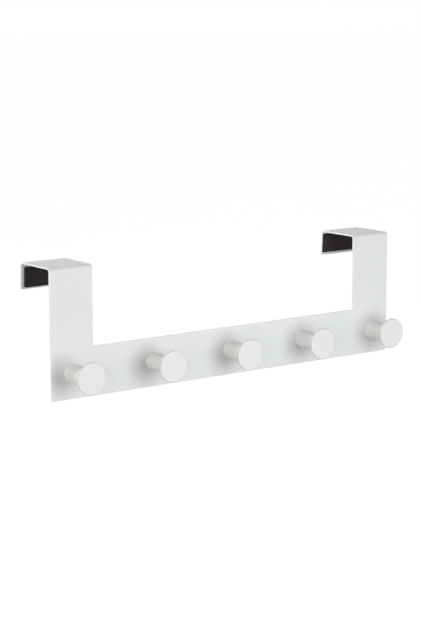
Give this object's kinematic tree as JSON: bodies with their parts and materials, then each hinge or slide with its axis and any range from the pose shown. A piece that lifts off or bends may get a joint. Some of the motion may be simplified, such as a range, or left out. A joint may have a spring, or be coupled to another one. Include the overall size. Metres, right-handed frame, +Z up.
{
  "type": "over door hook",
  "caption": "Flat sheet rack with folded square hooks that hang over the top of a door, carrying a level row of round pegs with flat disc heads for coats and towels.",
  "frame": {"origin": "the top front corner of the door, halfway between the two hooks: the back of the sheet is Y = 0 and the underside of the hooks is Z = 0", "axes": "+X to the right of someone facing the pegs, +Y into the door, +Z up"},
  "size_m": [0.4, 0.0835, 0.121],
  "materials": {
    "white_powder_coat": "white powder coat on folded steel sheet, satin with a fine grain",
    "peg_powder_coat": "white powder coat on turned steel, satin",
    "zinc_plated_steel": "zinc plated",
    "dark_foam": "fine closed cell foam, dark brown black, matt"
  },
  "bodies": {
    "root": {"rail_plate": "white_powder_coat", "peg_1": "peg_powder_coat", "peg_2": "peg_powder_coat", "peg_3": "peg_powder_coat", "peg_4": "peg_powder_coat", "peg_5": "peg_powder_coat", "peg_screws": "zinc_plated_steel", "door_liner_left": "dark_foam", "door_liner_right": "dark_foam"}
  },
  "joints": []
}
